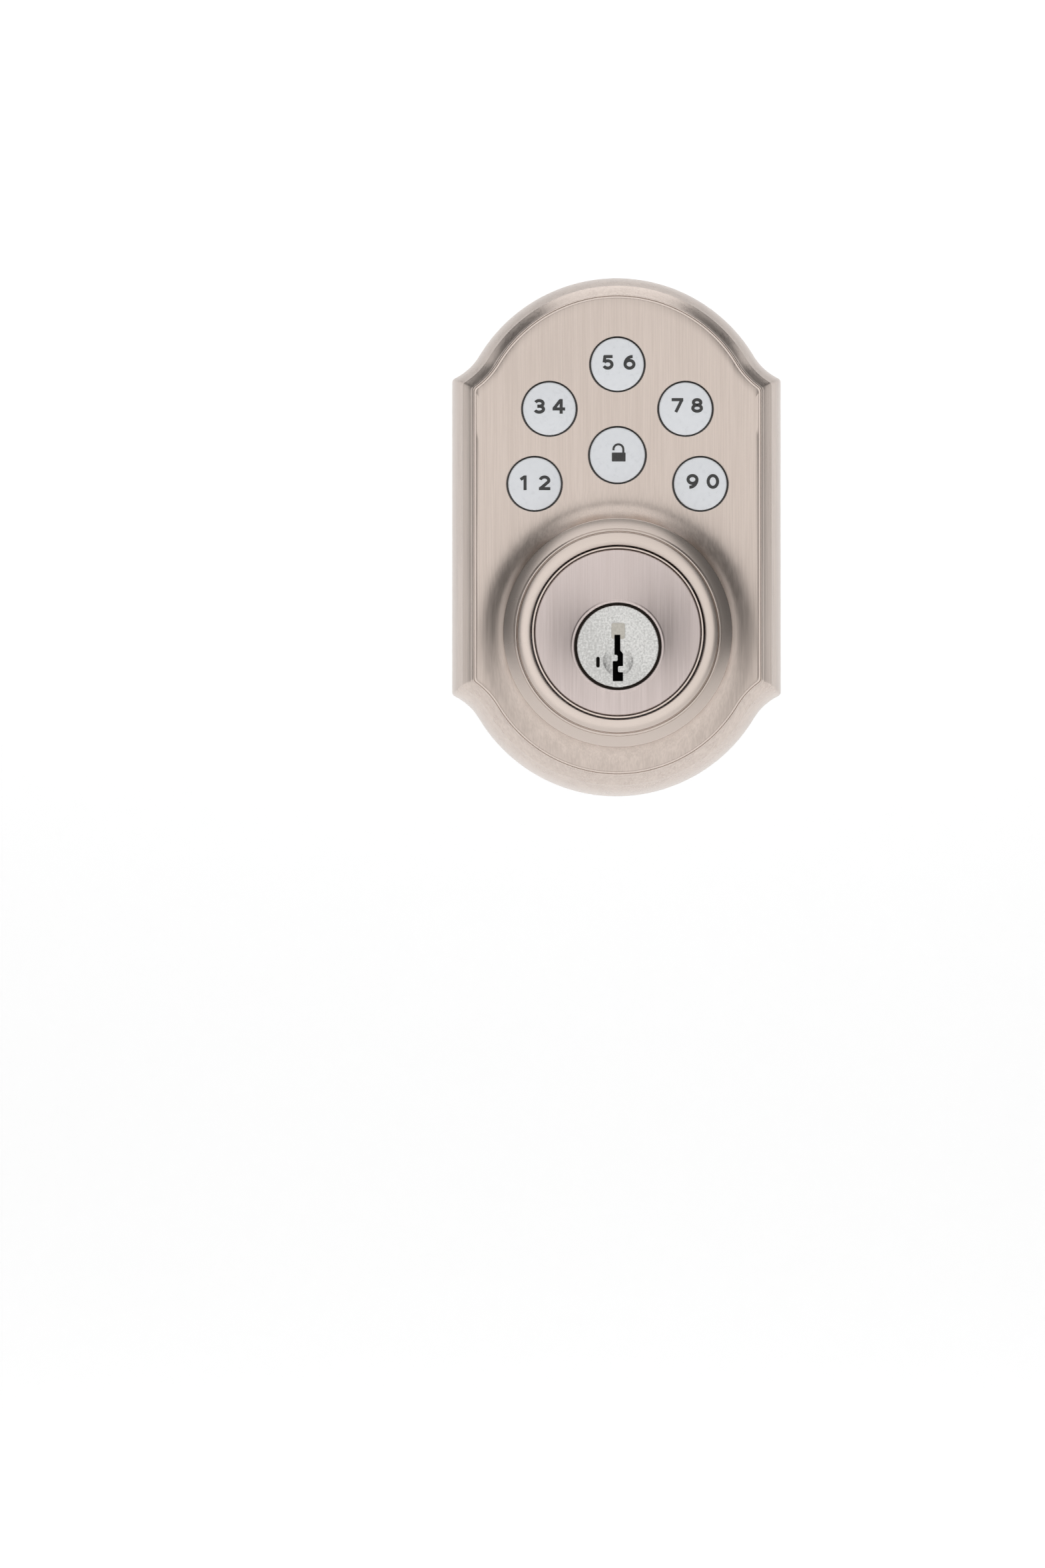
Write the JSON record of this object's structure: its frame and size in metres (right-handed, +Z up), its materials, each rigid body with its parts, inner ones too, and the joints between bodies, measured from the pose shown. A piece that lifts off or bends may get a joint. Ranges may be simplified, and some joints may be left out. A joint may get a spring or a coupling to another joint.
{
  "type": "keypad door lock",
  "caption": "Keypad deadbolt lock for a door: arched keypad unit with round buttons and key cylinder outside, geared motor unit with thumbturn inside.",
  "frame": {"origin": "on the key plug's axis, on the door's outer face, which is also the centre of the door's bore", "axes": "+Z up, +Y through the door towards the room, +X to the right seen from outside"},
  "size_m": [0.0718, 0.1252, 0.113],
  "materials": {
    "satin_nickel": "satin nickel plate, vertically brushed",
    "plug_metal": "fine grained cast metal, nickel plated",
    "white_cap": "smooth white moulded plastic",
    "grey_rubber": "soft silicone",
    "black_rubber": "soft foam seal",
    "board_green": "solder mask",
    "black_plastic": "fine moulded texture",
    "white_plastic": "moulded connector plastic",
    "gear_plastic": "natural acetal",
    "clear_plastic": "clear moulded plastic",
    "brass": "turned",
    "zinc_steel": "zinc plated steel",
    "spring_steel": "bright spring steel",
    "motor_can": "plain steel can",
    "cell_jacket": "printed wrap, plain",
    "wire_jacket": "vinyl cable jacket",
    "led_body": "phosphor filled lens"
  },
  "bodies": {
    "lock_body": {"exterior_housing": "satin_nickel", "keypad_rubber": "grey_rubber", "keypad_board": "board_green", "keypad_lamps": "led_body", "keypad_chip": "black_plastic", "keypad_socket": "white_plastic", "cylinder_body": "satin_nickel", "driver_pins": "brass", "driver_springs": "spring_steel", "chamber_strip": "brass", "blade_keeper": "zinc_steel", "exterior_back_plate": "zinc_steel", "exterior_gasket": "black_rubber", "threaded_posts": "zinc_steel", "back_plate_screws": "zinc_steel", "wire_harness": "wire_jacket", "harness_plug_exterior": "white_plastic", "harness_plug_interior": "white_plastic", "interior_mounting_plate": "zinc_steel", "through_screws": "zinc_steel", "interior_chassis": "black_plastic", "case_screws": "zinc_steel", "battery_1": "cell_jacket", "battery_2": "cell_jacket", "battery_3": "cell_jacket", "battery_4": "cell_jacket", "flat_contacts": "spring_steel", "spring_contacts": "spring_steel", "motor": "motor_can", "idler_axle": "spring_steel", "gear_cover": "black_plastic", "control_board": "board_green", "control_chip": "black_plastic", "board_socket": "white_plastic", "buzzer": "black_plastic", "program_switch": "black_plastic", "status_led": "led_body", "light_pipe": "clear_plastic", "board_screws": "zinc_steel", "interior_cover": "satin_nickel", "cover_screws": "zinc_steel"},
    "plug": {"cylinder_plug": "plug_metal", "key_pins": "brass", "plug_clip": "spring_steel"},
    "turnpiece": {"thumbturn": "satin_nickel", "torque_blade": "zinc_steel", "drive_hub": "gear_plastic", "thumbturn_screw": "zinc_steel"},
    "idler": {"idler_gear": "gear_plastic"},
    "pinion": {"motor_pinion": "brass", "motor_shaft": "spring_steel"},
    "program_button_body": {"program_button": "black_plastic"},
    "battery_door_body": {"battery_door": "satin_nickel"},
    "button_12_body": {"button_12": "white_cap"},
    "button_34_body": {"button_34": "white_cap"},
    "button_56_body": {"button_56": "white_cap"},
    "button_78_body": {"button_78": "white_cap"},
    "button_90_body": {"button_90": "white_cap"},
    "button_lock_body": {"button_lock": "white_cap"}
  },
  "joints": [
    {"name": "button_12_press", "type": "slide", "parent": "lock_body", "child": "button_12_body", "axis": [0, 1, 0], "range_m": [0, 0.001], "stiffness_N_per_m": 1500, "springref_m": -0.0008, "deforming": ["keypad_rubber"]},
    {"name": "button_34_press", "type": "slide", "parent": "lock_body", "child": "button_34_body", "axis": [0, 1, 0], "range_m": [0, 0.001], "stiffness_N_per_m": 1500, "springref_m": -0.0008, "deforming": ["keypad_rubber"]},
    {"name": "button_56_press", "type": "slide", "parent": "lock_body", "child": "button_56_body", "axis": [0, 1, 0], "range_m": [0, 0.001], "stiffness_N_per_m": 1500, "springref_m": -0.0008, "deforming": ["keypad_rubber"]},
    {"name": "button_78_press", "type": "slide", "parent": "lock_body", "child": "button_78_body", "axis": [0, 1, 0], "range_m": [0, 0.001], "stiffness_N_per_m": 1500, "springref_m": -0.0008, "deforming": ["keypad_rubber"]},
    {"name": "button_90_press", "type": "slide", "parent": "lock_body", "child": "button_90_body", "axis": [0, 1, 0], "range_m": [0, 0.001], "stiffness_N_per_m": 1500, "springref_m": -0.0008, "deforming": ["keypad_rubber"]},
    {"name": "button_lock_press", "type": "slide", "parent": "lock_body", "child": "button_lock_body", "axis": [0, 1, 0], "range_m": [0, 0.001], "stiffness_N_per_m": 1500, "springref_m": -0.0008, "deforming": ["keypad_rubber"]},
    {"name": "key_plug_turn", "type": "hinge", "parent": "lock_body", "child": "plug", "pos_m": [0, 0, 0], "axis": [0, 1, 0], "range_deg": [-90, 90]},
    {"name": "thumbturn_turn", "type": "hinge", "parent": "lock_body", "child": "turnpiece", "pos_m": [0, 0, 0], "axis": [0, -1, 0], "range_deg": [0, 90]},
    {"name": "idler_spin", "type": "hinge", "parent": "lock_body", "child": "idler", "pos_m": [-0.01966, 0, 0.00715], "axis": [0, -1, 0], "range_deg": [-300.5, 0.5]},
    {"name": "pinion_spin", "type": "hinge", "parent": "lock_body", "child": "pinion", "pos_m": [-0.02341, 0, 0.01805], "axis": [0, -1, 0], "range_deg": [-0.5, 840.5]},
    {"name": "program_button_press", "type": "slide", "parent": "lock_body", "child": "program_button_body", "axis": [0, -1, 0], "range_m": [0, 0.0012], "stiffness_N_per_m": 1200, "springref_m": -0.0008},
    {"name": "battery_door_slide", "type": "slide", "parent": "lock_body", "child": "battery_door_body", "axis": [0, 0, 1], "range_m": [0, 0.06]}
  ],
  "couplings": [
    {"joint": "idler_spin", "follows": "thumbturn_turn", "ratio": -3.3333},
    {"joint": "pinion_spin", "follows": "thumbturn_turn", "ratio": 9.3333}
  ]
}
